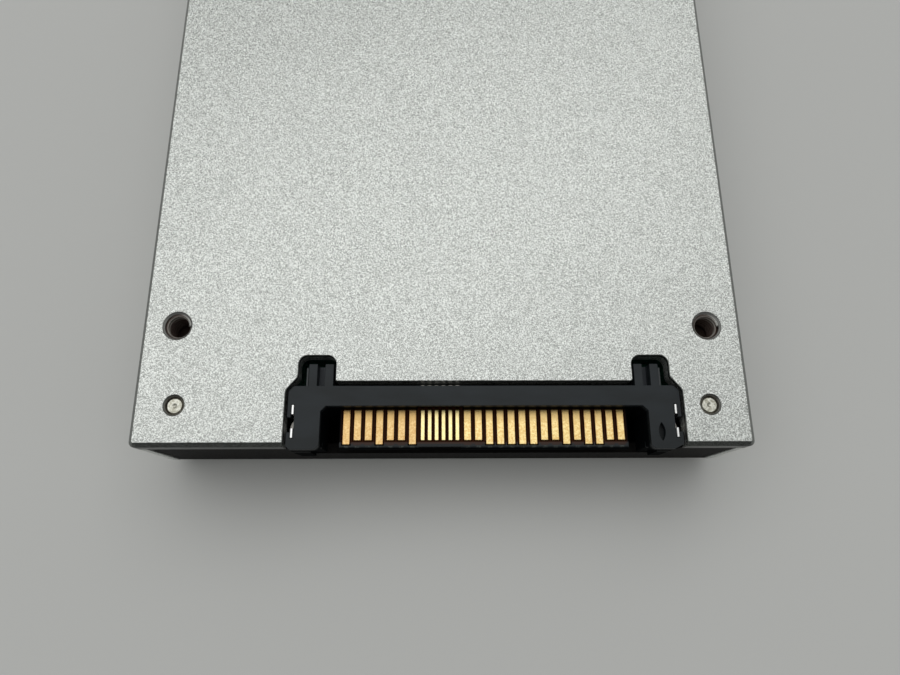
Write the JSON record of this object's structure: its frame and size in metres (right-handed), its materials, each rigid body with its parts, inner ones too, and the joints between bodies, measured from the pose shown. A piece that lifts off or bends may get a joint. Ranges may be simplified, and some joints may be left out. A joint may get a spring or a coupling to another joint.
{
  "type": "sas solid state drive",
  "caption": "Flat 2.5 inch solid state drive in a two-part metal case with a moulded multi-lane plug at one end and threaded mounting holes in its face and sides",
  "frame": {"origin": "middle of the label side, which the drive rests on, under the centre of its bounding box", "axes": "+X across the drive, +Y from the plug to the far end, +Z from the label side to the mounting face"},
  "size_m": [0.0698, 0.1004, 0.0148],
  "materials": {
    "case_aluminium": "sand-blasted, clear anodised",
    "cover_black": "satin black",
    "steel": "bright zinc",
    "black_plastic": "fine moulded, matte",
    "gold": "gold plated, satin",
    "tinned_sheet": "bright tin",
    "board_green": "green solder mask",
    "brass_spacer": "turned",
    "link_plastic": "natural moulded",
    "package_black": "moulded epoxy",
    "pad_grey": "soft filled silicone",
    "can_sleeve": "shrunk sleeve",
    "coil_grey": "pressed ferrite",
    "ceramic_tan": "fired"
  },
  "bodies": {
    "root": {"base_case": "case_aluminium", "cover": "cover_black", "cover_screws": "steel", "connector_housing": "black_plastic", "signal_contacts": "gold", "power_contacts": "gold", "key_contacts": "gold", "back_contacts": "gold", "hold_down_clips": "tinned_sheet", "main_board": "board_green", "second_board": "board_green", "board_spacers": "brass_spacer", "board_screws": "steel", "link_socket": "link_plastic", "link_plug": "link_plastic", "controller": "package_black", "controller_pad": "pad_grey", "memory_packages": "package_black", "main_flash_upper": "package_black", "main_flash_lower": "package_black", "second_flash_upper": "package_black", "second_flash_lower": "package_black", "upper_flash_pads": "pad_grey", "middle_flash_pads": "pad_grey", "lower_flash_pads": "pad_grey", "hold_up_capacitors": "can_sleeve", "power_inductors": "coil_grey", "power_chips": "package_black", "ceramic_capacitors": "ceramic_tan", "clock_crystal": "tinned_sheet"}
  },
  "joints": []
}
